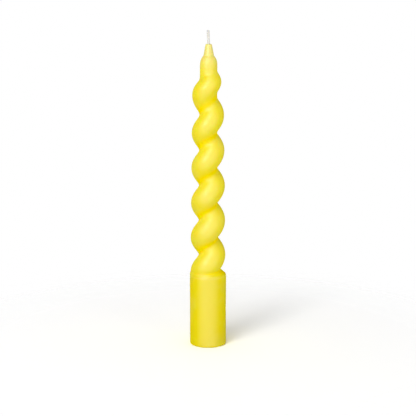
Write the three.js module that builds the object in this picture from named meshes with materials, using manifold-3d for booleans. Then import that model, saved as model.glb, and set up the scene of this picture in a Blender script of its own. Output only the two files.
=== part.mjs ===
// A twisted beeswax taper, cast in one piece round its wick. A plain round butt fits a holder, one
// thick strand turns about the axis above it, and a slim tip lets the wick out.
// Millimetres, +Z up, with the origin at the middle of the foot.
import * as THREE from "three";
import { mergeVertices } from "three/addons/utils/BufferGeometryUtils.js";
import Module from "manifold-3d";

// Whole candle
const WAX_HEIGHT = 184.15; // foot to the tip of the wax

// Butt, the plain round end that stands in a holder
const BUTT_DIAMETER = 22.2;
const BUTT_HEIGHT = 44.9; // foot to rim
const FOOT_ROUND = 1.0;
const RIM_ROUND = 0.8;
const SHOULDER_SLOPE = 41; // degrees, climbing from the rim towards the strand

// Strand, a round rope of wax wound about the axis as a right-hand screw
const STRAND_DIAMETER_LOW = 15.5; // at the rim of the butt
const STRAND_DIAMETER_HIGH = 13.35; // at the tip, before the strand fades
const STRAND_DIAMETER_FADED = 7.0; // where it has run out into the neck
const STRAND_OFFSET_LOW = 2.9; // axis to the middle of the strand, at the rim
const STRAND_OFFSET_HIGH = 2.52; // the same at the tip, before the strand fades
const STRAND_TAPER = 1.4; // power of the height by which both sizes taper, so that they hold longer low down
const STRAND_ROOT = 5.0; // depth to which it runs on inside the butt
const FADE_LENGTH = 13.1; // the strand runs out over this length
const CREASE_BLEND = 3.0; // softness of the crease between two turns
const CORE_DIAMETER = 9.8; // straight middle that the strand winds round
const CORE_BLEND = 1.2; // softness of the corner between the strand and the core

// Twist
const TWIST_PITCH = 21.4; // rise in one turn
const TWIST_START = 168.0; // degrees from +X to the strand's middle, at the rim
const TWIST_OPENING = 2.3; // added rise per turn squared, where the twist opens
const OPENING_LENGTH = 31.2; // the twist opens over this length, below the end of the strand

// Tip
const TIP_LENGTH = 13.75; // end of the strand to the tip of the wax
const TIP_SHIFT = 0.42; // the tip and its wick stand this far off the axis, towards +X
const NECK_DIAMETER = 10.4; // a little over the core, which it closes
const NECK_LAP = 4.0; // depth to which it runs down over the core
const NECK_DOME = 7.0; // height of the neck's rounded shoulder, above the end of the strand
const NECK_FULLNESS = 2.8; // power of the shoulder's rounding: 2 is an ellipse, more is squarer
const NIPPLE_WALL = 0.85; // wax round the bore at the tip, before its edge is rounded
const NIPPLE_SLOPE = 10.8; // degrees that the nipple's side leans in
const NIPPLE_ROUND = 0.6; // rounded edge of the tip
const NIPPLE_BLEND = 1.6; // softness of the corner between the nipple and its shoulder

// Wick, one length of round braid from foot to flame
const WICK_DIAMETER = 1.7;
const WICK_CLEARANCE = 0.15; // all round, in its bore
const WICK_STANDS = 8.1; // above the wax
const WICK_RECESS = 0.5; // its lower end lies this far up in the foot
const WICK_LEAN = 2.6; // degrees that its free end leans, towards -X
const WICK_END_ROUND = 0.5;

// Fineness
const BUTT_SIDES = 64;
const TIP_SIDES = 40;
const WICK_SIDES = 16;
const STRAND_SIDES = 36; // round the axis
const ROWS_PER_TURN = 14; // along the twist
const ARC_STEPS = 5; // in a rounded edge
const PROFILE_STEP = 0.6; // along the curved profile of the tip
const LEAN_STEP = 1.0; // along the free end of the wick
const REACH_STEPS = 80; // places round the helix that the strand's reach is looked for

const FULL_TURN = 2 * Math.PI;
const radians = THREE.MathUtils.degToRad;
const mix = THREE.MathUtils.lerp;
const clamp = THREE.MathUtils.clamp;

const strandEnd = WAX_HEIGHT - TIP_LENGTH;
const boreRadius = WICK_DIAMETER / 2 + WICK_CLEARANCE;

const wasm = await Module();
wasm.setup();

function solidOf(geometry) {
  const bare = geometry.clone().deleteAttribute("normal").deleteAttribute("uv");
  const merged = mergeVertices(bare, 1e-4);
  const triVerts = new Uint32Array(merged.index.array);
  const vertProperties = merged.attributes.position.array;
  return new wasm.Manifold(new wasm.Mesh({ numProp: 3, vertProperties, triVerts }));
}

function geometryOf(solid) {
  const mesh = solid.getMesh();
  const geometry = new THREE.BufferGeometry();
  geometry.setAttribute("position", new THREE.BufferAttribute(mesh.vertProperties, 3));
  geometry.setIndex(new THREE.BufferAttribute(mesh.triVerts, 1));
  geometry.computeVertexNormals();
  return geometry;
}

// Turns a profile of [radius, height] points, listed from the foot up, about the Z axis.
function revolve(profile, sides) {
  const points = profile.map(([radius, height]) => new THREE.Vector2(radius, height));
  return new THREE.LatheGeometry(points, sides).rotateX(Math.PI / 2);
}

// A quarter round or less, from one angle to another about a centre, angles in degrees from the radius.
function arc(centreRadius, centreHeight, round, from, to) {
  return Array.from({ length: ARC_STEPS + 1 }, (_, i) => {
    const angle = radians(mix(from, to, i / ARC_STEPS));
    return [centreRadius + round * Math.cos(angle), centreHeight + round * Math.sin(angle)];
  });
}

// The larger of two lengths, with the corner between them rounded off over the blend.
function softMax(a, b, blend) {
  const near = Math.max(blend - Math.abs(a - b), 0) / blend;
  return Math.max(a, b) + (near * near * blend) / 4;
}

// The butt: a rounded foot, a straight side, and a shoulder that climbs from the rounded rim to a point.
function buttGeometry() {
  const radius = BUTT_DIAMETER / 2;
  const rimRadius = radius - RIM_ROUND;
  const rise = Math.tan(radians(SHOULDER_SLOPE));
  const rim = arc(rimRadius, BUTT_HEIGHT - RIM_ROUND, RIM_ROUND, 0, 90 - SHOULDER_SLOPE);
  const [shoulderRadius, shoulderHeight] = rim.at(-1);
  const profile = [
    [0, 0],
    ...arc(radius - FOOT_ROUND, FOOT_ROUND, FOOT_ROUND, -90, 0),
    ...rim,
    [0, shoulderHeight + shoulderRadius * rise],
  ];
  return revolve(profile, BUTT_SIDES);
}

// The neck and nipple, on their own axis: the nipple is a slim cone, the neck below it a full, rounded
// shoulder that is widest at the end of the strand, and its foot draws in to sink into the core.
function tipGeometry() {
  const neckRadius = NECK_DIAMETER / 2;
  const coneTop = boreRadius + NIPPLE_WALL;
  const profile = [
    [0, strandEnd - NECK_LAP],
    [CORE_DIAMETER - neckRadius, strandEnd - NECK_LAP],
    [neckRadius, strandEnd],
  ];
  const steps = Math.ceil((TIP_LENGTH - NIPPLE_ROUND) / PROFILE_STEP);
  for (let i = 1; i <= steps; i++) {
    const height = mix(strandEnd, WAX_HEIGHT - NIPPLE_ROUND, i / steps);
    const cone = coneTop + (WAX_HEIGHT - height) * Math.tan(radians(NIPPLE_SLOPE));
    const up = Math.min((height - strandEnd) / NECK_DOME, 1);
    const dome = neckRadius * (1 - up ** NECK_FULLNESS) ** (1 / NECK_FULLNESS);
    profile.push([Math.min(softMax(cone, dome, NIPPLE_BLEND), neckRadius), height]);
  }
  const [edgeRadius, edgeHeight] = profile.pop();
  profile.push(...arc(edgeRadius - NIPPLE_ROUND, edgeHeight, NIPPLE_ROUND, 0, 90));
  profile.push([0, WAX_HEIGHT]);
  return revolve(profile, TIP_SIDES).translate(TIP_SHIFT, 0, 0);
}

// How far out the strand stands, at a height above the middle of one of its turns. The strand is what a
// ball sweeps when it is carried round a helix, so this is the farthest that any place of the ball
// near that turn reaches, along one direction from the axis.
function reach(above, radius, offset, pitch) {
  let farthest = 0;
  for (let i = 0; i <= REACH_STEPS; i++) {
    const turned = mix(-Math.PI, Math.PI, i / REACH_STEPS);
    const away = above - (pitch * turned) / FULL_TURN;
    const beside = offset * Math.sin(turned);
    const inside = radius * radius - away * away - beside * beside;
    if (inside <= 0) continue;
    farthest = Math.max(farthest, offset * Math.cos(turned) + Math.sqrt(inside));
  }
  return farthest;
}

// How far out the core stands, in one direction from the axis: it is a circle about the tip's axis.
function coreReach(angle) {
  const beside = TIP_SHIFT * Math.sin(angle);
  return TIP_SHIFT * Math.cos(angle) + Math.sqrt((CORE_DIAMETER / 2) ** 2 - beside * beside);
}

// Height of the strand's middle after some turns above the rim, and the pitch there. The twist opens
// towards the tip, so each turn there rises more than the last.
function helixAt(turns) {
  const evenTurns = (strandEnd - OPENING_LENGTH - BUTT_HEIGHT) / TWIST_PITCH;
  const opened = Math.max(turns - evenTurns, 0);
  return {
    height: BUTT_HEIGHT + TWIST_PITCH * turns + TWIST_OPENING * opened * opened,
    pitch: TWIST_PITCH + 2 * TWIST_OPENING * opened,
  };
}

// The strand's radius and its distance off the axis at a height: both taper from the rim, and near the
// end they fade so that the strand runs out into the neck.
function strandAt(height) {
  const along = clamp((height - BUTT_HEIGHT) / (strandEnd - BUTT_HEIGHT), 0, 1) ** STRAND_TAPER;
  const faded = clamp((height - strandEnd + FADE_LENGTH) / FADE_LENGTH, 0, 1) ** 2;
  const diameter = mix(STRAND_DIAMETER_LOW, STRAND_DIAMETER_HIGH, along);
  const offset = mix(STRAND_OFFSET_LOW, STRAND_OFFSET_HIGH, along);
  return {
    radius: mix(diameter, STRAND_DIAMETER_FADED, faded) / 2,
    offset: offset * (1 - faded),
  };
}

// A point of the strand's surface, from its direction about the axis and its row. Rows follow the twist,
// so the crease between two turns runs along the mesh.
function strandPoint(side, row) {
  const angle = (FULL_TURN * side) / STRAND_SIDES;
  const turns = row / ROWS_PER_TURN + side / STRAND_SIDES - TWIST_START / 360;
  const { height, pitch } = helixAt(turns);
  const { radius, offset } = strandAt(height);
  const phase = (row / ROWS_PER_TURN) % 1;
  const above = (phase < 0 ? phase + 1 : phase) * pitch;
  const twoTurns = softMax(
    reach(above, radius, offset, pitch),
    reach(above - pitch, radius, offset, pitch),
    CREASE_BLEND,
  );
  const out = softMax(twoTurns, coreReach(angle), CORE_BLEND);
  return [out * Math.cos(angle), out * Math.sin(angle), height];
}

// The strand round its core, a strip of rows that winds round the axis and has a fan across each end.
// It runs a turn or more past both of its ends, where it is trimmed to length.
function strandGeometry() {
  const firstTurn = Math.floor(-STRAND_ROOT / TWIST_PITCH) - 1;
  const lastTurn = Math.ceil((strandEnd - BUTT_HEIGHT) / TWIST_PITCH) + 1;
  const firstRow = firstTurn * ROWS_PER_TURN;
  const lastRow = lastTurn * ROWS_PER_TURN;
  const positions = [];
  const indices = [];
  const places = new Map();
  const vertex = (side, row) => {
    const key = side === STRAND_SIDES ? `0,${row + ROWS_PER_TURN}` : `${side},${row}`;
    if (!places.has(key)) {
      places.set(key, positions.length / 3);
      positions.push(...strandPoint(side, row));
    }
    return places.get(key);
  };
  for (let side = 0; side < STRAND_SIDES; side++) {
    for (let row = firstRow; row < lastRow; row++) {
      const low = [vertex(side, row), vertex(side + 1, row)];
      const high = [vertex(side, row + 1), vertex(side + 1, row + 1)];
      indices.push(low[0], low[1], high[1], low[0], high[1], high[0]);
    }
  }
  const closeEnd = (edgeRow, facingUp) => {
    const edge = [];
    for (let side = 0; side < STRAND_SIDES; side++) edge.push(vertex(side, edgeRow));
    for (let row = edgeRow + ROWS_PER_TURN; row > edgeRow; row--) edge.push(vertex(0, row));
    const middle = positions.length / 3;
    positions.push(0, 0, positions[3 * edge[0] + 2]);
    edge.forEach((from, i) => {
      const to = edge[(i + 1) % edge.length];
      indices.push(middle, facingUp ? from : to, facingUp ? to : from);
    });
  };
  closeEnd(firstRow, false);
  closeEnd(lastRow, true);
  const geometry = new THREE.BufferGeometry();
  geometry.setAttribute("position", new THREE.Float32BufferAttribute(positions, 3));
  geometry.setIndex(indices);
  return geometry;
}

// A plain drum that holds every turn of the strand between its root in the butt and its end.
function trimmingGeometry() {
  const radius = 2 * (STRAND_DIAMETER_LOW + STRAND_OFFSET_LOW);
  const root = BUTT_HEIGHT - STRAND_ROOT;
  const profile = [
    [0, root],
    [radius, root],
    [radius, strandEnd],
    [0, strandEnd],
  ];
  return revolve(profile, STRAND_SIDES);
}

// The bore that the wax leaves round the wick, open at the foot and at the tip.
function boreGeometry() {
  const profile = [
    [0, -FOOT_ROUND],
    [boreRadius, -FOOT_ROUND],
    [boreRadius, WAX_HEIGHT + NIPPLE_ROUND],
    [0, WAX_HEIGHT + NIPPLE_ROUND],
  ];
  return revolve(profile, WICK_SIDES).translate(TIP_SHIFT, 0, 0);
}

function makeWax() {
  const solid = solidOf(strandGeometry())
    .intersect(solidOf(trimmingGeometry()))
    .add(solidOf(buttGeometry()))
    .add(solidOf(tipGeometry()))
    .subtract(solidOf(boreGeometry()));
  const material = new THREE.MeshStandardMaterial({ color: 0xf0dc48, roughness: 0.42, metalness: 0 });
  const wax = new THREE.Mesh(geometryOf(solid), material);
  wax.name = "wax_body";
  return wax;
}

// The wick stands straight in its bore and leans over once it is clear of the wax.
function makeWick() {
  const radius = WICK_DIAMETER / 2;
  const top = WAX_HEIGHT + WICK_STANDS;
  const steps = Math.ceil((WICK_STANDS - WICK_END_ROUND) / LEAN_STEP);
  const profile = [
    [0, WICK_RECESS],
    [radius, WICK_RECESS],
  ];
  for (let i = 0; i < steps; i++) {
    profile.push([radius, mix(WAX_HEIGHT, top - WICK_END_ROUND, i / steps)]);
  }
  profile.push(...arc(radius - WICK_END_ROUND, top - WICK_END_ROUND, WICK_END_ROUND, 0, 90), [0, top]);
  const geometry = revolve(profile, WICK_SIDES);
  const position = geometry.attributes.position;
  for (let i = 0; i < position.count; i++) {
    const free = Math.max(position.getZ(i) - WAX_HEIGHT, 0);
    position.setX(i, position.getX(i) - free * Math.tan(radians(WICK_LEAN)));
  }
  const material = new THREE.MeshStandardMaterial({ color: 0xe9e2d6, roughness: 0.9, metalness: 0 });
  const wick = new THREE.Mesh(geometry, material);
  wick.name = "wick";
  wick.position.x = TIP_SHIFT;
  return wick;
}

const candle = new THREE.Group();
candle.add(makeWax(), makeWick());

export default candle;
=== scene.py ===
"""A twisted beeswax taper, cast round its wick, dressed for its picture.

The wax is one skin that runs up the outside of the candle and back down its bore. The wick is a round
braid of eight cotton yarns over a core. Sizes are given in millimetres, as a candle maker gives them,
and turn to metres where a mesh or a lamp is made.
"""
import logging
import math
from dataclasses import dataclass, field
from enum import Enum

import bpy
import numpy as np
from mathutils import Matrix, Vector


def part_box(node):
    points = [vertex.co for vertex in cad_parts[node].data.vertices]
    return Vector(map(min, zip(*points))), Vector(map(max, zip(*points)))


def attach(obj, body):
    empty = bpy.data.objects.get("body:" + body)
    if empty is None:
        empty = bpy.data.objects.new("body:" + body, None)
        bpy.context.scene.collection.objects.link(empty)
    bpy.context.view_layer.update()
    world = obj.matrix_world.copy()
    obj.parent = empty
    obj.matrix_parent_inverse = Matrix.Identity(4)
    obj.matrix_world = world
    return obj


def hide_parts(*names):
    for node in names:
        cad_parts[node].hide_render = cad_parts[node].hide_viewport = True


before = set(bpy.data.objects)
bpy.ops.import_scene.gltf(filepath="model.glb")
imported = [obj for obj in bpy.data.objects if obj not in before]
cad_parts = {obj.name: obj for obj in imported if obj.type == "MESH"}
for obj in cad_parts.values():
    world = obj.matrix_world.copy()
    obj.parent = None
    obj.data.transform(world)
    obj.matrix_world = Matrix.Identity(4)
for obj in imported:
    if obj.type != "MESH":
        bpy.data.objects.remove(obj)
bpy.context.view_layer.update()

BODY = "root"
MM = 0.001
FULL_TURN = 2 * math.pi
HALF_TURN = math.pi

log = logging.getLogger("taper")

Socket = bpy.types.NodeSocket
Colour = tuple[float, float, float]
Number = float | np.ndarray


class Turn(Enum):
    """Which way a yarn winds, seen from above as it climbs."""

    LEFT = 1
    RIGHT = -1


def mix(low: Number, high: Number, share: Number) -> Number:
    """The value that lies a share of the way from low to high."""
    return low + (high - low) * share


def ease(low: float, high: float, value: np.ndarray) -> np.ndarray:
    """A smooth step from 0 at low to 1 at high: 3 s squared less 2 s cubed, for the share s between."""
    share = np.clip((value - low) / (high - low), 0, 1)
    return share * share * (3 - 2 * share)


def soft_max(first: np.ndarray, second: np.ndarray, blend: float) -> np.ndarray:
    """The larger length, rounded: plus a quarter of blend times n squared, for their nearness n."""
    near = np.clip(1 - np.abs(first - second) / blend, 0, 1)
    return np.maximum(first, second) + near * near * blend / 4


def polar(out: Number, angle: Number, height: Number) -> np.ndarray:
    """Points so far out from the axis, in a direction about it, at a height."""
    return np.stack(np.broadcast_arrays(out * np.cos(angle), out * np.sin(angle), height), -1)


def spaced(start: float, stop: float, step: float) -> np.ndarray:
    """Even places from start up to, but without, stop, no further apart than step."""
    count = max(1, math.ceil(abs(stop - start) / step))
    return np.linspace(start, stop, count, endpoint=False)


def srgb(red: float, green: float, blue: float) -> Colour:
    """A colour as a paint chart gives it, from 0 to 255, turned to linear light."""
    shares = (red / 255, green / 255, blue / 255)
    return tuple(s / 12.92 if s <= 0.04045 else ((s + 0.055) / 1.055) ** 2.4 for s in shares)


@dataclass
class Skin:
    """Gathers surfaces worked out on grids into one closed, outward-facing mesh."""

    name: str
    points: list[np.ndarray] = field(default_factory=list)
    fours: list[np.ndarray] = field(default_factory=list)
    threes: list[np.ndarray] = field(default_factory=list)
    four_uvs: list[np.ndarray] = field(default_factory=list)
    three_uvs: list[np.ndarray] = field(default_factory=list)
    count: int = 0

    def grid(self, points: np.ndarray, lengths: np.ndarray, ring: bool = False) -> None:
        """Adds a tube: a grid whose columns close round it, and whose rows run along it.

        Each face joins row i, column j to the next row and the next column, and its corners turn left
        round the outward normal when columns run left round the rows' direction.

        Args:
            points: Rows by columns by 3, in millimetres.
            lengths: Distance along each row, in millimetres, for the second map coordinate.
            ring: Whether the last row joins the first, so that the tube has no ends.
        """
        rows, columns = points.shape[:2]
        last = rows if ring else rows - 1
        row, column = np.meshgrid(np.arange(last), np.arange(columns), indexing="ij")
        above, beside = (row + 1) % rows, (column + 1) % columns
        corners = ((row, column), (row, beside), (above, beside), (above, column))
        self.fours.append(np.stack([self.count + r * columns + c for r, c in corners], -1).reshape(-1, 4))
        runs = np.append(lengths, lengths[-1])
        across = ((column, row), (column + 1, row), (column + 1, row + 1), (column, row + 1))
        uvs = np.stack([np.stack([c / columns, runs[r]], -1) for c, r in across], -2)
        self.four_uvs.append(uvs.reshape(-1, 4, 2))
        self.points.append(points.reshape(-1, 3))
        first, self.count = self.count, self.count + rows * columns
        if not ring:
            self._cap(first, points[0], lengths[0], False)
            self._cap(first + (rows - 1) * columns, points[-1], lengths[-1], True)

    def _cap(self, first: int, edge: np.ndarray, length: float, end: bool) -> None:
        """Closes one end of a tube with a fan about the middle of its edge.

        Args:
            first: Number of the edge's first point.
            edge: The edge's points.
            length: Distance along the tube.
            end: True at the far end, where the fan turns the other way.
        """
        columns = len(edge)
        here = np.arange(columns)
        following = (here + 1) % columns
        middle = np.full(columns, self.count)
        fan = (here, following) if end else (following, here)
        self.threes.append(np.stack([first + fan[0], first + fan[1], middle], -1))
        uv = np.stack([here / columns, np.full(columns, length)], -1)
        self.three_uvs.append(np.stack([uv, uv, uv], -2))
        self.points.append(edge.mean(0)[None])
        self.count += 1

    def make(self) -> bpy.types.Object:
        """Puts the gathered surfaces into a mesh, in metres, and links its object into the scene.

        Returns:
            The new object, at the origin, unturned and unscaled.
        """
        points = np.concatenate(self.points) * MM
        fours = np.concatenate(self.fours)
        threes = np.concatenate(self.threes) if self.threes else np.zeros((0, 3), int)
        corners = np.concatenate([fours.ravel(), threes.ravel()])
        totals = np.concatenate([np.full(len(fours), 4), np.full(len(threes), 3)])
        mesh = bpy.data.meshes.new(self.name)
        mesh.vertices.add(len(points))
        mesh.vertices.foreach_set("co", points.astype(np.float32).ravel())
        mesh.loops.add(len(corners))
        mesh.loops.foreach_set("vertex_index", corners.astype(np.int32))
        mesh.polygons.add(len(totals))
        mesh.polygons.foreach_set("loop_start", (np.cumsum(totals) - totals).astype(np.int32))
        mesh.polygons.foreach_set("use_smooth", np.ones(len(totals), bool))
        mesh.update(calc_edges=True)
        uvs = np.concatenate([u.reshape(-1, 2) for u in (*self.four_uvs, *self.three_uvs)])
        mesh.uv_layers.new(name="along").uv.foreach_set("vector", uvs.astype(np.float32).ravel())
        if mesh.validate():
            raise ValueError(self.name + " has a broken face")
        piece = bpy.data.objects.new(self.name, mesh)
        bpy.context.scene.collection.objects.link(piece)
        return piece


@dataclass
class Board:
    """Places nodes in one node tree and wires them."""

    tree: bpy.types.NodeTree

    @classmethod
    def of(cls, material: bpy.types.Material) -> "Board":
        """Clears a material for nodes of its own.

        Args:
            material: The material, which is switched to nodes.

        Returns:
            An empty board in it.
        """
        material.use_nodes = True
        material.node_tree.nodes.clear()
        return cls(material.node_tree)

    def add(self, kind: str, inputs: dict[str, object] | None = None, **settings: object) -> bpy.types.Node:
        """Adds a node.

        Args:
            kind: Blender's type name of the node, without the leading ShaderNode.
            inputs: What goes into each named socket: a value, or a socket to wire in.
            settings: The node's own properties.

        Returns:
            The new node.
        """
        node = self.tree.nodes.new("ShaderNode" + kind)
        for name, value in settings.items():
            setattr(node, name, value)
        for name, value in (inputs or {}).items():
            self.fill(next(s for s in node.inputs if s.name == name and s.enabled), value)
        return node

    def fill(self, socket: Socket, value: object) -> None:
        """Puts a value into a socket, or wires in the socket that gives it.

        Args:
            socket: The socket that takes it.
            value: A number, numbers, a colour, or a socket.
        """
        if isinstance(value, Socket):
            self.tree.links.new(value, socket)
        else:
            socket.default_value = (*value, 1.0) if socket.type == "RGBA" else value

    def math(self, operation: str, first: object, second: object = 0.0) -> Socket:
        """One sum of two values.

        Args:
            operation: Blender's name of the sum.
            first: A number or a socket.
            second: A number or a socket.

        Returns:
            The result's socket.
        """
        node = self.add("Math", operation=operation)
        self.fill(node.inputs[0], first)
        self.fill(node.inputs[1], second)
        return node.outputs[0]

    def seen(self) -> Socket:
        """Tells the rays that make up what is seen from those that only carry light.

        Returns:
            1 for rays from the camera and for those that gloss and glass send on, otherwise 0.
        """
        path = self.add("LightPath").outputs
        sent_on = self.math("MAXIMUM", path["Is Glossy Ray"], path["Is Transmission Ray"])
        return self.math("MAXIMUM", path["Is Camera Ray"], sent_on)

    def blend(self, share: Socket, first: object, second: object) -> Socket:
        """The colour that lies a share of the way from the first to the second."""
        node = self.add("Mix", {"Factor": share, "A": first, "B": second}, data_type="RGBA")
        return next(s for s in node.outputs if s.enabled)

    def stretch(self, value: Socket, low: object, high: object, to_low: float, to_high: float) -> Socket:
        """A smooth ramp of a value, from to_low at low to to_high at high."""
        inputs = {"Value": value, "From Min": low, "From Max": high, "To Min": to_low, "To Max": to_high}
        return self.add("MapRange", inputs, interpolation_type="SMOOTHSTEP").outputs["Result"]

    def noise(self, place: Socket, size: float, detail: float, roughness: float = 0.5) -> Socket:
        """Noise whose largest grains have the size, in millimetres, with finer layers by its detail."""
        inputs = {"Vector": place, "Scale": 1 / (size * MM), "Detail": detail, "Roughness": roughness}
        return self.add("TexNoise", inputs).outputs["Fac"]

    def bump(self, relief: Socket, depth: float, strength: float) -> Socket:
        """The normal of a skin with a relief of the depth, in millimetres, at a share of its strength."""
        inputs = {"Height": relief, "Distance": depth * MM, "Strength": strength}
        return self.add("Bump", inputs).outputs["Normal"]

    def clouds(self, place: Socket, size: float, low: float, high: float) -> bpy.types.NodeOutputs:
        """The outputs of the shared soft clouds, with their size in millimetres."""
        inputs = {"Vector": place, "Size": size * MM, "Low": low, "High": high}
        return self.add("Group", inputs, node_tree=cloud_group()).outputs


def cloud_group() -> bpy.types.NodeTree:
    """The shared group that makes soft clouds, for bloom on wax, paler fibres and the like.

    Returns:
        A group with inputs Vector, Size in metres, Low and High, and outputs Mask, which climbs from 0
        where the cloud is below Low to 1 where it is above High, and Cloud, the cloud itself.
    """
    found = bpy.data.node_groups.get("soft_clouds")
    if found:
        return found
    tree = bpy.data.node_groups.new("soft_clouds", "ShaderNodeTree")
    tree.interface.new_socket("Vector", in_out="INPUT", socket_type="NodeSocketVector")
    for name, value in (("Size", 0.01), ("Low", 0.4), ("High", 0.6)):
        tree.interface.new_socket(name, in_out="INPUT", socket_type="NodeSocketFloat").default_value = value
    for name in ("Mask", "Cloud"):
        tree.interface.new_socket(name, in_out="OUTPUT", socket_type="NodeSocketFloat")
    board = Board(tree)
    given = tree.nodes.new("NodeGroupInput").outputs
    put_out = tree.nodes.new("NodeGroupOutput").inputs
    scale = board.math("DIVIDE", 1.0, given["Size"])
    inputs = {"Vector": given["Vector"], "Scale": scale, "Detail": 3.0, "Roughness": 0.55}
    cloud = board.add("TexNoise", inputs).outputs["Fac"]
    board.fill(put_out["Mask"], board.stretch(cloud, given["Low"], given["High"], 0.0, 1.0))
    board.fill(put_out["Cloud"], cloud)
    return tree


@dataclass(frozen=True)
class Beeswax:
    """Cast beeswax: golden, cloudy and a little translucent, with a pale bloom on its skin."""

    thick: Colour = srgb(241, 222, 23)
    body: Colour = srgb(247, 229, 54)
    # deep is the darker tone of soft clouds and also the painted shade in creases; bloom is real bloom and
    # also the painted highlight under the rim
    deep: Colour = srgb(255, 228, 0)
    bloom: Colour = srgb(248, 230, 150)
    thick_to: float = 43.0
    thin_from: float = 50.0
    pale_from: float = 165.0
    pale_to: float = 183.0
    pale_share: float = 0.75
    # Height, reach and share of the painted highlight laid on just under the rim's round
    rim_highlight_height: float = 43.3
    rim_highlight_reach: float = 1.0
    rim_highlight_share: float = 0.13
    bloom_size: float = 14.0
    bloom_share: float = 0.1
    cloud_size: float = 5.0
    cloud_share: float = 0.08
    roughness: float = 0.4
    bloom_dulls: float = 0.1
    grain_dulls: float = 0.06
    refraction: float = 1.6
    gloss_level: float = 1.0
    shine_gone: float = 0.27
    crease_dulls: float = 0.8
    translucent: float = 0.3
    travel: float = 2.5
    travel_shares: Colour = (1.0, 0.45, 0.12)
    grain_size: float = 0.55
    grain_relief: float = 0.35
    cloud_relief: float = 0.8
    hole_gap: float = 1.9
    hole_reach: tuple[float, float] = (0.03, 0.1)
    hole_relief: float = -0.6
    relief_depth: float = 0.06

    def material(self) -> bpy.types.Material:
        """Builds the wax.

        Its colour is the body colour, which is richer in the thick butt. It is taken towards the deep
        one in soft clouds and, as painted shade, in the crease that the skin marks. It is taken towards
        the bloom in larger clouds and up the tip, and, as a painted highlight, in a narrow band under the
        rim. The bump is a fine grain, a cloudy cast skin and a few pin holes. The gloss is strongest
        where the skin is seen face on, and weak in creases.

        Returns:
            The material.
        """
        material = bpy.data.materials.new("beeswax")
        board = Board.of(material)
        place = board.add("TexCoord").outputs["Object"]
        height = board.add("SeparateXYZ", {"Vector": place}).outputs["Z"]
        # The crease mask paints shade: valleys and the undersides of turns are taken towards the deep
        # colour
        crease = board.add("Attribute", attribute_name="crease").outputs["Fac"]
        bloom = board.clouds(place, self.bloom_size, low=0.47, high=0.66)["Mask"]
        cloud = board.clouds(place, self.cloud_size, low=0.35, high=0.7)
        pale = board.stretch(height, self.pale_from * MM, self.pale_to * MM, 0.0, self.pale_share)
        # Painted highlight: a narrow pale band just under the rim, where the rim's round catches the light
        from_rim_highlight = board.math("ABSOLUTE", board.math("SUBTRACT", height, self.rim_highlight_height * MM))
        rim_highlight = board.stretch(from_rim_highlight, 0.0, self.rim_highlight_reach * MM, self.rim_highlight_share, 0.0)
        bloom_and_rim_highlight = board.math("MAXIMUM", board.math("MULTIPLY", bloom, self.bloom_share), rim_highlight)
        bloom_tip_and_rim_highlight = board.math("MAXIMUM", bloom_and_rim_highlight, pale)
        thin = board.stretch(height, self.thick_to * MM, self.thin_from * MM, 0.0, 1.0)
        clear = board.blend(bloom_tip_and_rim_highlight, board.blend(thin, self.thick, self.body), self.bloom)
        # Painted shade in creases, with a little real cloudy tone: the colour goes towards the deep one
        depth = board.math("MAXIMUM", board.math("MULTIPLY", cloud["Mask"], self.cloud_share), crease)
        colour = board.blend(depth, clear, self.deep)
        grain = board.noise(place, self.grain_size, detail=5.0, roughness=0.6)
        hole_inputs = {"Vector": place, "Scale": 1 / (self.hole_gap * MM)}
        from_hole = board.add("TexVoronoi", hole_inputs).outputs["Distance"]
        hole = board.stretch(from_hole, *self.hole_reach, self.hole_relief, 0.0)
        fine = board.math("MULTIPLY", grain, self.grain_relief)
        skin = board.math("ADD", fine, board.math("MULTIPLY", cloud["Cloud"], self.cloud_relief))
        relief = board.math("ADD", skin, hole)
        dull = board.math("ADD", board.math("MULTIPLY", bloom, self.bloom_dulls), self.roughness)
        facing = board.add("LayerWeight", {"Blend": 0.5}).outputs["Facing"]
        shine = board.stretch(facing, 0.0, self.shine_gone, self.gloss_level, 0.0)
        open_skin = board.math("SUBTRACT", 1.0, board.math("MULTIPLY", crease, self.crease_dulls))
        shader = board.add("BsdfPrincipled", {
            "Base Color": colour,
            "Roughness": board.math("ADD", board.math("MULTIPLY", grain, self.grain_dulls), dull),
            "Normal": board.bump(relief, self.relief_depth, strength=0.6),
            "IOR": self.refraction,
            "Specular IOR Level": board.math("MULTIPLY", shine, open_skin),
            "Subsurface Weight": self.translucent,
            "Subsurface Scale": self.travel * MM,
            "Subsurface Radius": self.travel_shares,
        })
        board.add("OutputMaterial", {"Surface": shader.outputs["BSDF"]})
        return material


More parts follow.
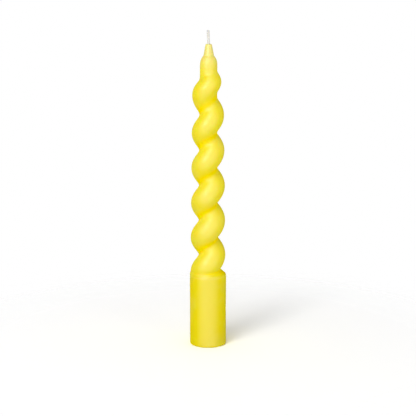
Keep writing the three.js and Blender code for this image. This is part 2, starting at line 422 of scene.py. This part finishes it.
@dataclass(frozen=True)
class Cotton:
    """Undyed cotton yarn, primed with a little wax."""

    body: Colour = srgb(236, 229, 219)
    pale: Colour = srgb(246, 242, 236)
    soiled: Colour = srgb(205, 200, 194)
    soiled_length: float = 1.6
    soiled_share: float = 0.75
    patch_size: float = 0.7
    roughness: float = 0.82
    fuzz_dulls: float = 0.15
    fibre_width: float = 0.09
    fibres_round: float = 9.0
    fibre_slant: float = 1.6
    fibre_relief: float = 0.5
    relief_depth: float = 0.02
    sheen: float = 0.15
    translucent: float = 0.15
    travel: float = 0.4

    def material(self, top: float) -> bpy.types.Material:
        """Builds the cotton.

        Fine fibres run slantwise along each yarn, from the yarn's own map, and clouds make some of them
        paler. The cut end is a little grey.

        Args:
            top: Height of the cut end, in millimetres.

        Returns:
            The material.
        """
        material = bpy.data.materials.new("cotton")
        board = Board.of(material)
        coordinates = board.add("TexCoord").outputs
        place = coordinates["Object"]
        height = board.add("SeparateXYZ", {"Vector": place}).outputs["Z"]
        along = board.add("SeparateXYZ", {"Vector": coordinates["UV"]}).outputs
        slant = board.math("ADD", board.math("MULTIPLY", along["Y"], self.fibre_slant), along["X"])
        turned = board.math("MULTIPLY", slant, FULL_TURN * self.fibres_round)
        ridge = board.math("MULTIPLY", board.math("SINE", turned), self.fibre_relief)
        fuzz = board.noise(place, self.fibre_width, detail=4.0)
        relief = board.math("ADD", ridge, fuzz)
        patch = board.clouds(place, self.patch_size, low=0.4, high=0.65)["Mask"]
        end = board.stretch(height, (top - self.soiled_length) * MM, top * MM, 0.0, self.soiled_share)
        colour = board.blend(end, board.blend(patch, self.body, self.pale), self.soiled)
        shader = board.add("BsdfPrincipled", {
            "Base Color": colour,
            "Roughness": board.math("ADD", board.math("MULTIPLY", fuzz, self.fuzz_dulls), self.roughness),
            "Normal": board.bump(relief, self.relief_depth, strength=0.8),
            "Sheen Weight": self.sheen,
            "Sheen Roughness": 0.5,
            "Subsurface Weight": self.translucent,
            "Subsurface Scale": self.travel * MM,
        })
        board.add("OutputMaterial", {"Surface": shader.outputs["BSDF"]})
        return material


@dataclass(frozen=True)
class Paper:
    """White studio paper under the candle, faded into the white behind it."""

    white: float = 0.86
    seen_white: float = 1.62
    whole_to: float = 80.0
    gone_by: float = 210.0
    tooth: float = 0.8
    tooth_depth: float = 0.02

    def material(self) -> bpy.types.Material:
        """Builds the paper.

        A plain matt white with a fine tooth. The camera sees it whiter than it is, so that it joins the
        white behind it and keeps the candle's shadow. Far from the candle it is see-through, and so is
        its underside, which would show grey through the fade.

        Returns:
            The material.
        """
        material = bpy.data.materials.new("studio_paper")
        board = Board.of(material)
        place = board.add("TexCoord").outputs["Object"]
        away = board.add("VectorMath", {"Vector": place}, operation="LENGTH").outputs["Value"]
        tooth = board.bump(board.noise(place, self.tooth, detail=2.0), self.tooth_depth, strength=0.3)
        whiter = board.math("MULTIPLY", board.seen(), self.seen_white - self.white)
        tint = board.math("ADD", whiter, self.white)
        paper = board.add("BsdfDiffuse", {"Color": tint, "Normal": tooth}).outputs["BSDF"]
        faded_away = board.stretch(away, self.whole_to * MM, self.gone_by * MM, 0.0, 1.0)
        gone = board.math("MAXIMUM", faded_away, board.add("NewGeometry").outputs["Backfacing"])
        clear = board.add("BsdfTransparent").outputs["BSDF"]
        faded = board.add("MixShader")
        for socket, value in zip(faded.inputs, (gone, paper, clear)):
            board.fill(socket, value)
        board.add("OutputMaterial", {"Surface": faded.outputs[0]})
        return material


@dataclass
class Twist:
    """How the strand of wax climbs: even turns at first, then each one rises more than the last."""

    rim: float = 44.9
    end: float = 170.4
    pitch: float = 21.4
    start: float = 168.0
    opening: float = 2.3
    opening_length: float = 31.2

    def turns_at(self, height: np.ndarray) -> tuple[np.ndarray, np.ndarray]:
        """Turns made above the rim by the strand's middle at a height, and the pitch there.

        Below the opening, height is the rim plus the pitch times the turns. Above it, the opening times
        the square of the further turns is added, and this is that sum solved for the turns.

        Args:
            height: Heights in millimetres.

        Returns:
            The turns, and the local pitch in millimetres.
        """
        opens_at = self.end - self.opening_length
        past = np.maximum(height - opens_at, 0)
        pitch = np.sqrt(self.pitch**2 + 4 * self.opening * past)
        opened = (pitch - self.pitch) / (2 * self.opening)
        even = (np.minimum(height, opens_at) - self.rim) / self.pitch
        return even + opened, pitch


@dataclass
class WaxBody:
    """The cast wax: a plain butt for the holder, the twisted strand above it, and a slim tip."""

    twist: Twist = field(default_factory=Twist)
    foot_round: float = 1.0
    rim_round: float = 0.8
    rim_draw: float = 0.3
    rim_draw_length: float = 2.6
    shoulder_slope: float = 41.0
    strand_low: float = 15.5
    strand_high: float = 13.35
    offset_low: float = 2.9
    offset_high: float = 2.52
    strand_taper: float = 1.4
    strand_faded: float = 7.0
    fade_length: float = 13.1
    crease_blend: float = 3.0
    core: float = 9.8
    core_blend: float = 1.2
    # How far the crease mask's painted shade reaches up under the turn above and down over the turn below
    crease_up: tuple[float, float] = (1.6, 5.0)
    crease_down: tuple[float, float] = (-0.4, 2.2)
    shoulder_blend: float = 2.0
    neck_waist: float = 0.1
    waist_height: float = 165.8
    waist_length: float = 2.6
    tip_shift: float = 0.42
    neck: float = 10.4
    neck_lap: float = 4.0
    neck_dome: float = 7.0
    neck_fullness: float = 2.8
    nipple_wall: float = 0.85
    nipple_slope: float = 10.8
    nipple_round: float = 0.6
    nipple_blend: float = 1.6
    neck_blend: float = 0.8
    bore: float = 2.0
    wick_grip: float = 0.84
    well_depth: float = 0.32
    well_fullness: float = 0.8
    well_drop: float = 0.1
    grip_depth: tuple[float, float] = (1.0, 3.0)
    underside_hollow: float = 0.28
    centred_by: tuple[float, float] = (1.0, 6.0)
    root_width: float = 0.8
    root_depth: tuple[float, float] = (6.0, 2.0)
    step: tuple[float, float] = (0.3, 1.5)
    unevenness: float = 0.02
    waves: tuple[tuple[float, float, int, float], ...] = (
        (1.0, 0.21, 2, 0.0),
        (1.0, 0.13, -1, 1.7),
        (0.6, 0.47, 3, 0.6),
    )
    even_foot: float = 6.0
    even_tip: tuple[float, float] = (14.0, 6.0)
    columns: int = 184
    finish: Beeswax = Beeswax()

    def __post_init__(self) -> None:
        """Takes the height and the butt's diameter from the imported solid."""
        low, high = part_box("wax_body")
        self.height = high.z / MM
        self.butt = (high.x - low.x) / MM

    def reach(self, above: np.ndarray, radius: np.ndarray, offset: np.ndarray,
              pitch: np.ndarray) -> np.ndarray:
        """How far out the strand stands at a height above the middle of one of its turns.

        The strand is what a ball sweeps when it is carried round a helix. At a turn t from the middle,
        the ball reaches out by the offset times the cosine of t, plus the root of the radius squared
        less the square of the height left to climb and less the square of the offset times the sine of
        t. The farthest of these is looked for over a round of t, and then ever closer to the best one.

        Args:
            above: Heights above the middle of the turn, over the grid.
            radius: Radius of the ball, over the rows.
            offset: Distance from the axis to the ball's middle, over the rows.
            pitch: Rise in one turn, over the rows.

        Returns:
            The farthest reach, over the grid, 0 where the turn isn't met.
        """
        def out(turned: np.ndarray) -> np.ndarray:
            """Reach of the ball after it has turned.

            Args:
                turned: Turns from the middle, in radians, over the grid.

            Returns:
                The reach, over the grid, 0 where the ball isn't met.
            """
            away = above - pitch * turned / FULL_TURN
            inside = radius**2 - away**2 - (offset * np.sin(turned)) ** 2
            return np.where(inside > 0, offset * np.cos(turned) + np.sqrt(np.maximum(inside, 0)), 0)

        places, halvings = 48, 16
        best, farthest = np.zeros_like(above), np.zeros_like(above)
        for turned in np.linspace(-HALF_TURN, HALF_TURN, places + 1):
            trial = out(np.full_like(above, turned))
            best = np.where(trial > farthest, turned, best)
            farthest = np.maximum(farthest, trial)
        step = HALF_TURN / places
        for _ in range(halvings):
            for side in (-step, step):
                trial = out(best + side)
                best = np.where(trial > farthest, best + side, best)
                farthest = np.maximum(farthest, trial)
            step /= 2
        return farthest

    def strand(self, angle: np.ndarray, height: np.ndarray) -> tuple[np.ndarray, np.ndarray]:
        """The strand's surface about its core, as a distance from the axis.

        The strand's radius and offset taper from rim to end, slowly at first, and fade near the end. A
        direction and a height lie some way up from the turn below and down from the turn above. The
        reach of both, rounded into one another in a soft crease, and the core's circle give the surface.

        Args:
            angle: Directions about the axis, over the columns.
            height: Heights, over the rows.

        Returns:
            The distance from the axis, and the crease mask that paints shade, from 0 on the strand's crown
            to 1 in its valley and up the underside of the turn above.
        """
        turns, pitch = self.twist.turns_at(height)
        span = self.twist.end - self.twist.rim
        along = np.clip((height - self.twist.rim) / span, 0, 1) ** self.strand_taper
        faded = np.clip((height - self.twist.end + self.fade_length) / self.fade_length, 0, 1) ** 2
        radius = mix(mix(self.strand_low, self.strand_high, along), self.strand_faded, faded) / 2
        offset = mix(self.offset_low, self.offset_high, along) * (1 - faded)
        phase = (turns - angle / FULL_TURN + self.twist.start / 360) % 1
        lower = self.reach(phase * pitch, radius, offset, pitch)
        upper = self.reach((phase - 1) * pitch, radius, offset, pitch)
        both = soft_max(lower, upper, self.crease_blend)
        # Painted shade: the mask is widest up the underside of the turn above, where less light falls
        past = (phase - 0.5) * pitch
        underside = 1 - ease(self.crease_up[0], self.crease_up[1], past)
        topside = 1 - ease(self.crease_down[0], self.crease_down[1], -past)
        crease = underside * topside * (1 - faded)
        waist = self.neck_waist * np.exp(-(((height - self.waist_height) / self.waist_length) ** 2))
        return soft_max(both, self.circle(angle, self.core / 2 - waist), self.core_blend), crease

    def circle(self, angle: np.ndarray, radius: Number) -> np.ndarray:
        """Way out to a circle shifted by s: s cos a, plus the root of r squared less (s sin a) squared."""
        beside = self.tip_shift * np.sin(angle)
        return self.tip_shift * np.cos(angle) + np.sqrt(np.maximum(radius**2 - beside**2, 0))

    def butt_side(self, height: np.ndarray) -> np.ndarray:
        """The butt's radius at a height: straight, then the rim's round, then the sloping shoulder.

        On the round it is the radius of the round's middle plus the root of the round squared less the
        height above that middle squared. The shoulder falls in by the height over the slope's tangent.
        Close below the rim the side draws in a little, as the mould's edge leaves it.

        Args:
            height: Heights, over the rows.

        Returns:
            The radius, over the rows.
        """
        radius = self.butt / 2
        centre_height = self.twist.rim - self.rim_round
        slope = math.radians(self.shoulder_slope)
        climbed = np.clip(height - centre_height, 0, self.rim_round * math.cos(slope))
        rounded = radius - self.rim_round + np.sqrt(self.rim_round**2 - climbed**2)
        past = np.maximum(height - centre_height - self.rim_round * math.cos(slope), 0)
        drawn = self.rim_draw * ease(self.twist.rim - self.rim_draw_length, self.twist.rim, height)
        return np.maximum(rounded - past / math.tan(slope) - drawn, 0)

    def tip_side(self, height: np.ndarray) -> np.ndarray:
        """The tip's radius about its own axis: neck, dome and nipple.

        The neck closes the core and is widest where the strand ends. Above that the dome falls in from
        it as a full, squarish curve: its width and its height, each as a share of its own largest and
        raised to the fullness, add up to 1. The nipple is a slim cone, rounded into the dome.

        Args:
            height: Heights, over the rows.

        Returns:
            The radius about the tip's axis, over the rows.
        """
        neck = self.neck / 2
        lap = np.clip((height - self.twist.end + self.neck_lap) / self.neck_lap, 0, 1)
        below = mix(self.core - neck, neck, lap) * (height >= self.twist.end - self.neck_lap)
        up = np.clip((height - self.twist.end) / self.neck_dome, 0, 1)
        dome = neck * (1 - up**self.neck_fullness) ** (1 / self.neck_fullness)
        slope = math.tan(math.radians(self.nipple_slope))
        cone = self.bore / 2 + self.nipple_wall + (self.height - height) * slope
        above = np.minimum(soft_max(cone, dome, self.nipple_blend), neck)
        return np.where(height < self.twist.end, below, above)

    def side(self, angle: np.ndarray, height: np.ndarray) -> tuple[np.ndarray, np.ndarray]:
        """The outside of the wax as a distance from the axis, from its foot round to its tip's edge.

        The butt, the strand and the tip, each rounded into the next, with a slow unevenness of the cast
        added. It is a sum of sine waves, each with its share, its rise in radians to the millimetre, its
        rounds about the axis and its start, and it fades at the foot and the tip.

        Args:
            angle: Directions about the axis, over the columns.
            height: Heights, over the rows.

        Returns:
            The distance from the axis, and the crease mask that paints shade, also where the strand meets
            the butt's shoulder.
        """
        butt = self.butt_side(height)
        strand, crease = self.strand(angle, height)
        root = ease(self.twist.rim - self.root_depth[0], self.twist.rim - self.root_depth[1], height)
        strand = strand * mix(self.root_width, 1.0, root)
        body = np.minimum(soft_max(butt, strand, self.shoulder_blend), np.maximum(self.butt / 2, strand))
        # Painted shade where the strand meets the butt's shoulder, if it stands in from the butt
        apart = strand - butt
        stepped = np.clip((self.butt / 2 - strand - self.step[0]) / self.step[1], 0, 1)
        above_rim = ease(self.twist.rim, self.twist.rim + 1, height)
        shoulder = np.exp(-((apart / self.shoulder_blend) ** 2)) * above_rim * stepped
        tip = self.circle(angle, self.tip_side(height))
        out = np.where(height < self.twist.end - self.neck_lap, body, soft_max(body, tip, self.neck_blend))
        out = np.where(height > self.twist.end, tip, out)
        wave = sum(
            share * np.sin(height * rise + rounds * angle + start)
            for share, rise, rounds, start in self.waves
        )
        near_tip = ease(self.height - self.even_tip[0], self.height - self.even_tip[1], height)
        fade = ease(0, self.even_foot, height) * (1 - near_tip)
        strand_shown = (height > self.twist.rim) * (height < self.twist.end)
        return out + self.unevenness * wave * fade, np.maximum(crease * strand_shown, shoulder)

    def rows(self) -> np.ndarray:
        """Heights of the side's rows, close together where the outline turns sharply.

        A stretch is where it starts, where it ends, and the most that its rows lie apart.

        Returns:
            The heights, from the foot up.
        """
        below_rim, above_rim = self.twist.rim - 2.2, self.twist.rim + 3.6
        neck_foot = self.twist.end - self.neck_lap
        stretches = (
            (self.foot_round, below_rim, 0.95),
            (below_rim, above_rim, 0.13),
            (above_rim, neck_foot, 0.45),
            (neck_foot, self.twist.end, 0.3),
            (self.twist.end, self.height - self.nipple_round, 0.2),
        )
        return np.concatenate([spaced(*stretch) for stretch in stretches])

    def underside(self) -> tuple[np.ndarray, np.ndarray]:
        """Radius and height of the underside's rows, from the bore out and round the foot.

        The wax shrinks as it sets, so the underside is a shallow hollow: its depth times the square of
        the cosine of a quarter turn times the share of the way out. The foot is a quarter round.

        Returns:
            The radii and the heights.
        """
        outer = self.butt / 2 - self.foot_round
        bore_edge, row_gap = 0.15, 0.42
        radius = spaced(self.bore / 2 + bore_edge, outer, row_gap)
        share = (radius - self.bore / 2) / (outer - self.bore / 2)
        hollow = self.underside_hollow * np.cos(share * HALF_TURN / 2) ** 2
        turned = np.linspace(-HALF_TURN / 2, 0, 8, endpoint=False)
        round_radius = outer + self.foot_round * np.cos(turned)
        round_height = self.foot_round * (1 + np.sin(turned))
        return np.concatenate([radius, round_radius]), np.concatenate([hollow, round_height])

    def inside(self) -> tuple[np.ndarray, np.ndarray]:
        """Radius about the tip's axis and height of the last rows: over the tip and down the bore.

        The tip's edge is a round, then the wax dips in a little well and climbs to the wick, which it
        grips, and below that it stands clear of the wick down to the foot. The well is its depth times
        the sine of half a turn times the share of the way in, raised to its fullness, and the wax drops
        evenly from the edge to the wick.

        Returns:
            The radii and the heights.
        """
        slope = math.tan(math.radians(self.nipple_slope))
        edge = self.bore / 2 + self.nipple_wall + self.nipple_round * slope
        turned = np.linspace(0, HALF_TURN / 2, 7, endpoint=False)
        round_radius = edge - self.nipple_round + self.nipple_round * np.cos(turned)
        round_height = self.height - self.nipple_round + self.nipple_round * np.sin(turned)
        dip = np.linspace(0, 1, 9)
        lip = edge - self.nipple_round
        dip_radius = mix(lip, self.wick_grip, dip)
        well = self.well_depth * np.sin(HALF_TURN * dip) ** self.well_fullness
        dip_height = self.height - well - self.well_drop * dip
        bore_depth = np.array([1.0, 1.6, 2.2, 3.0, 8.0, 20.0, 45.0, 80.0, 115.0, 150.0, 175.0])
        bore_radius = mix(self.wick_grip, self.bore / 2, ease(*self.grip_depth, bore_depth))
        foot_height = np.array([0.9, self.underside_hollow + 0.12, self.underside_hollow + 0.02])
        foot_radius = self.bore / 2 + np.array([0.0, 0.0, 0.06])
        radius = np.concatenate([round_radius, dip_radius, bore_radius, foot_radius])
        height = np.concatenate([round_height, dip_height, self.height - bore_depth, foot_height])
        return radius, height

    def build(self) -> bpy.types.Object:
        """Makes the wax as one closed skin, dresses it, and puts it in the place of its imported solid.

        The grid's columns are directions about the axis. Its rows run out over the underside, up the
        side, over the tip and down the bore, where the last one joins the first. The underside's rows go
        from the tip's axis, which the bore is on, over to the candle's axis.

        Returns:
            The piece.
        """
        angle = (np.arange(self.columns) * FULL_TURN / self.columns)[None, :]
        under_radius, under_height = self.underside()
        under_radius = under_radius[:, None]
        centred = ease(*self.centred_by, under_radius)
        under = mix(self.circle(angle, under_radius), under_radius, centred)
        side_height = self.rows()
        side, crease = self.side(angle, side_height[:, None])
        in_radius, in_height = self.inside()
        inside = self.circle(angle, in_radius[:, None])
        out = np.concatenate([under, side, inside])
        height = np.concatenate([under_height, side_height, in_height])
        marks = np.concatenate([np.zeros_like(under), crease, np.zeros_like(inside)])
        points = polar(out, angle, height[:, None])
        skin = Skin("cast_wax")
        skin.grid(points, height, ring=True)
        piece = skin.make()
        # The crease mask, which paints shade into the wax's colour, goes on the mesh
        mark = piece.data.attributes.new("crease", "FLOAT", "POINT")
        mark.data.foreach_set("value", marks.astype(np.float32).ravel())
        piece.data.materials.append(self.finish.material())
        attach(piece, BODY)
        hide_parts("wax_body")
        log.info("%s: %d points, %.1f mm tall", piece.name, points.size // 3, self.height)
        return piece


@dataclass
class BraidedWick:
    """The wick: eight cotton yarns braided round a straight core, leaning a little above the wax."""

    wax_top: float
    lean: float = 2.6
    shift: float = 0.42
    yarns_each_way: int = 4
    lay: float = 6.2
    middle_radius: float = 0.57
    weave: float = 0.1
    yarn_thick: float = 0.16
    yarn_wide: float = 0.4
    yarn_sides: int = 12
    ply_depth: float = 0.13
    plies: int = 3
    ply_lay: float = 1.9
    core_radius: float = 0.5
    core_short: float = 0.2
    core_depth: float = 0.06
    shown_margin: float = 1.5
    hidden_gap: float = 0.55
    shown_gap: float = 0.13
    fray: float = 0.16
    fray_length: float = 1.1
    fray_swell: float = 0.12
    uneven_cut: float = 0.28
    cut_round: float = 0.14
    foot_round: float = 0.2
    core_round: float = 0.25
    stray_fibres: int = 44
    stray_radius: float = 0.012
    stray_turn: float = 0.9
    stray_rise: tuple[float, float] = (0.4, 1.5)
    stray_bow: tuple[float, float] = (0.15, 0.42)
    stray_curl: tuple[float, float] = (0.7, 1.0)
    stray_clear: tuple[float, float] = (0.2, 0.6)
    stray_thins: float = 0.5
    seed: int = 7
    finish: Cotton = Cotton()

    def __post_init__(self) -> None:
        """Takes the wick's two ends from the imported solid."""
        low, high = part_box("wick")
        self.bottom = low.z / MM
        self.top = high.z / MM

    def leaned(self, points: np.ndarray) -> np.ndarray:
        """Moves points on to the wick's line: over the tip's axis, and towards -X once above the wax.

        The move towards -X is the height above the wax times the tangent of the lean.

        Args:
            points: Points about the middle line.

        Returns:
            The moved points.
        """
        free = np.maximum(points[..., 2] - self.wax_top, 0)
        moved = points.copy()
        moved[..., 0] += self.shift - free * math.tan(math.radians(self.lean))
        return moved

    def tube(self, skin: Skin, path: np.ndarray, outward: np.ndarray, sizes: tuple[np.ndarray, np.ndarray],
             lobes: float, sides: int) -> None:
        """Carries an oval along a path and adds it to a skin.

        Each ring is the path's point, plus the outward direction times the thickness times a cosine,
        plus the direction across the yarn times the width times a sine. Lobes for the plies swell both
        by a cosine that winds round the yarn as it runs.

        Args:
            skin: The skin that the tube goes into.
            path: Rings by 3, the middle of the tube.
            outward: Rings by 3, roughly across the path.
            sizes: Half the thickness and half the width at each ring.
            lobes: How deep the plies show, as a share of the size.
            sides: Points round the tube.
        """
        ahead = np.gradient(path, axis=0)
        ahead /= np.linalg.norm(ahead, axis=1, keepdims=True)
        out = outward - (outward * ahead).sum(1, keepdims=True) * ahead
        out /= np.linalg.norm(out, axis=1, keepdims=True)
        across = np.cross(ahead, out)
        run = np.concatenate([[0], np.cumsum(np.linalg.norm(np.diff(path, axis=0), axis=1))])
        angle = np.arange(sides) * FULL_TURN / sides
        swell = 1 + lobes * np.cos(self.plies * (angle[None] - run[:, None] * FULL_TURN / self.ply_lay))
        thick = (sizes[0][:, None] * swell * np.cos(angle))[..., None]
        wide = (sizes[1][:, None] * swell * np.sin(angle))[..., None]
        rings = path[:, None] + out[:, None] * thick + across[:, None] * wide
        skin.grid(self.leaned(rings), run)

    def blunted(self, inward: np.ndarray, rounding: float, least: float) -> np.ndarray:
        """Share of the full size at distances in from a cut end: the root of them over the rounding."""
        return np.sqrt(np.clip(inward / rounding, least, 1))

    def heights(self, top: float) -> np.ndarray:
        """Heights of a yarn's rings: wide apart inside the wax, close together where they show.

        Args:
            top: Height at which the yarn is cut.

        Returns:
            The heights, from the wick's foot up.
        """
        shown_from = self.wax_top - self.shown_margin
        hidden = spaced(self.bottom, shown_from, self.hidden_gap)
        shown = np.linspace(shown_from, top, math.ceil((top - shown_from) / self.shown_gap))
        return np.concatenate([hidden, shown])

    def add_yarn(self, skin: Skin, turn: Turn, place: int, top: float) -> None:
        """Braids one yarn into the skin.

        Its angle about the wick is the height over the lay, in turns, one way or the other, plus its own
        place of four. Its distance out is the braid's middle radius plus or minus the weave times the
        cosine of four times that angle, so it passes over one yarn and under the next.

        Args:
            skin: The skin that the yarn goes into.
            turn: Which way the yarn winds.
            place: Which of the four yarns of that turn it is.
            top: Height at which it is cut.
        """
        height = self.heights(top)
        wound = height * FULL_TURN / self.lay
        angle = turn.value * wound + place * FULL_TURN / self.yarns_each_way
        loose = ease(self.top - self.fray_length, self.top, height)
        woven = turn.value * self.weave * np.cos(self.yarns_each_way * wound)
        out = self.middle_radius + woven + self.fray * loose
        outward = polar(1.0, angle, 0.0)
        path = polar(out, angle, height)
        blunt_top = self.blunted(top - height, self.cut_round, least=0.05)
        blunt = blunt_top * self.blunted(height - self.bottom, self.foot_round, least=0.1)
        thick = self.yarn_thick * blunt * (1 + self.fray_swell * loose)
        self.tube(skin, path, outward, (thick, self.yarn_wide * blunt), self.ply_depth, self.yarn_sides)

    def add_core(self, skin: Skin) -> None:
        """Adds the straight core that the yarns are braided over, cut a little short of them.

        Args:
            skin: The skin that it goes into.
        """
        height = self.heights(self.top - self.core_short)
        outward = polar(1.0, np.zeros_like(height), 0.0)
        size = self.core_radius * self.blunted(height[-1] - height, self.core_round, least=0.05)
        path = polar(0.0, 0.0, height)
        self.tube(skin, path, outward, (size, size), self.core_depth, self.yarn_sides)

    def add_strays(self, skin: Skin, draw: np.random.Generator) -> None:
        """Adds loose fibres: each leaves the braid, bows out as it rises and curls back in.

        Its way out is a place on the braid plus its bow times the sine of up to half a turn.

        Args:
            skin: The skin that they go into.
            draw: Where their places and lengths are drawn from.
        """
        share = np.linspace(0, 1, 9)
        for _ in range(self.stray_fibres):
            start = draw.uniform(self.wax_top + self.stray_clear[0], self.top - self.stray_clear[1])
            angle = draw.uniform(0, FULL_TURN) + share * draw.uniform(-self.stray_turn, self.stray_turn)
            rise = share * draw.uniform(*self.stray_rise)
            bow = draw.uniform(*self.stray_bow) * np.sin(share * draw.uniform(*self.stray_curl) * HALF_TURN)
            out = self.middle_radius + self.weave + bow
            path = polar(out, angle, start + rise)
            size = self.stray_radius * (1 - self.stray_thins * share)
            self.tube(skin, path, polar(1.0, angle, 0.0), (size, size), 0.0, 4)

    def build(self) -> bpy.types.Object:
        """Makes the wick, dresses it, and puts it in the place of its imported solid.

        Returns:
            The piece.
        """
        draw = np.random.default_rng(self.seed)
        skin = Skin("braided_wick")
        self.add_core(skin)
        for turn in Turn:
            for place in range(self.yarns_each_way):
                self.add_yarn(skin, turn, place, self.top - draw.uniform(0.0, self.uneven_cut))
        self.add_strays(skin, draw)
        piece = skin.make()
        piece.data.materials.append(self.finish.material(self.top))
        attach(piece, BODY)
        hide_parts("wick")
        log.info("%s: %d points, %.1f mm long", piece.name, skin.count, self.top - self.bottom)
        return piece


@dataclass
class Softbox:
    """A square lamp behind white cloth, given by where it stands round the candle.

    Its azimuth runs from the camera's side round to the right. Where it isn't mirrored, it lights the
    candle and makes no highlight on it.
    """

    name: str
    azimuth: float
    elevation: float
    level: float
    size: float = 900.0
    distance: float = 3000.0
    aim: float = 90.0
    mirrored: bool = True

    def build(self) -> bpy.types.Object:
        """Makes the lamp, turned to the candle.

        Its power gives the level at the candle: the level times pi is the light that falls on a face
        turned to the lamp, and a flat lamp of power P and area A lights it by P over pi A times the
        solid angle of the lamp, which is near A over the distance squared.

        Returns:
            The lamp.
        """
        lamp = bpy.data.lights.new(self.name, "AREA")
        lamp.shape = "SQUARE"
        lamp.size = self.size * MM
        lamp.energy = self.level * math.pi**2 * (self.distance * MM) ** 2
        around, up = math.radians(self.azimuth), math.radians(self.elevation)
        away = Vector((math.sin(around) * math.cos(up), -math.cos(around) * math.cos(up), math.sin(up)))
        placed = bpy.data.objects.new(self.name, lamp)
        placed.location = Vector((0, 0, self.aim * MM)) + away * self.distance * MM
        placed.rotation_euler = away.to_track_quat("Z", "Y").to_euler()
        placed.visible_camera = False
        placed.visible_glossy = self.mirrored
        bpy.context.scene.collection.objects.link(placed)
        return placed


@dataclass
class Studio:
    """The camera, the lamps, the white paper and the white all round."""

    distance: float = 800.0
    elevation: float = 0.1871
    aim: float = 85.09
    focal_pixels: float = 1317.1
    frame_pixels: float = 416.0
    sensor: float = 36.0
    paper_radius: float = 250.0
    paper_thick: float = 2.0
    paper_sides: int = 96
    horizon: float = 0.69
    overhead: float = 0.1
    finish: Paper = Paper()
    lamps: tuple[Softbox, ...] = (
        Softbox("key", azimuth=-22.0, elevation=60.0, level=0.28, size=1300.0),
        Softbox("left", azimuth=-60.0, elevation=0.0, level=0.08, mirrored=False),
        Softbox("front", azimuth=-28.0, elevation=18.0, level=0.22),
        Softbox("right", azimuth=35.0, elevation=0.0, level=0.22, mirrored=False),
        Softbox("back", azimuth=180.0, elevation=0.0, level=0.16, mirrored=False),
    )

    def camera(self) -> None:
        """Stands the camera in front of the candle, a little above it, looking down its own slope."""
        lens = bpy.data.cameras.new("camera")
        lens.sensor_width = self.sensor
        lens.lens = self.sensor * self.focal_pixels / self.frame_pixels
        lens.clip_start, lens.clip_end = 0.01, 20.0
        camera = bpy.data.objects.new("camera", lens)
        back, up = self.distance * math.cos(self.elevation), self.distance * math.sin(self.elevation)
        camera.location = (0, -back * MM, (self.aim + up) * MM)
        camera.rotation_euler = (HALF_TURN / 2 - self.elevation, 0, 0)
        bpy.context.scene.collection.objects.link(camera)
        bpy.context.scene.camera = camera

    def paper(self) -> None:
        """Lays the paper: rings about the candle's axis, flat, under its foot.

        The third ring, 1 mm in from the edge, keeps the rounding of the edge's shading off the sheet.
        """
        angle = np.arange(self.paper_sides) * FULL_TURN / self.paper_sides
        radius = np.array([self.paper_radius, self.paper_radius, self.paper_radius - 1, 1.0])[:, None]
        height = np.array([-self.paper_thick, 0.0, 0.0, 0.0])[:, None]
        skin = Skin("studio_paper")
        skin.grid(polar(radius, angle, height), np.arange(4.0))
        floor = skin.make()
        floor.data.materials.append(self.finish.material())

    def surroundings(self) -> None:
        """Fills the world with a plain white that lights the candle softly and shows as white."""
        world = bpy.data.worlds.new("white_room")
        bpy.context.scene.world = world
        world.use_nodes = True
        world.node_tree.nodes.clear()
        board = Board(world.node_tree)
        way = board.add("TexCoord").outputs["Generated"]
        climb = board.math("MAXIMUM", board.add("SeparateXYZ", {"Vector": way}).outputs["Z"], 0.0)
        fall = board.math("MULTIPLY", climb, self.horizon - self.overhead)
        room = board.math("SUBTRACT", self.horizon, fall)
        level = board.math("MAXIMUM", board.seen(), room)
        white = board.add("Background", {"Color": (1.0, 1.0, 1.0), "Strength": level})
        board.add("OutputWorld", {"Surface": white.outputs["Background"]})

    def build(self) -> None:
        """Sets up the studio, the camera first."""
        self.camera()
        self.paper()
        self.surroundings()
        for lamp in self.lamps:
            lamp.build()
        bpy.context.scene.view_settings.view_transform = "Standard"
        log.info("studio: %d lamps", len(self.lamps))


def main() -> None:
    """Builds the studio, the wax and the wick."""
    logging.basicConfig(level=logging.INFO, format="%(name)s: %(message)s")
    Studio().build()
    wax = WaxBody()
    wax.build()
    BraidedWick(wax_top=wax.height, shift=wax.tip_shift).build()


if __name__ == "__main__":
    main()
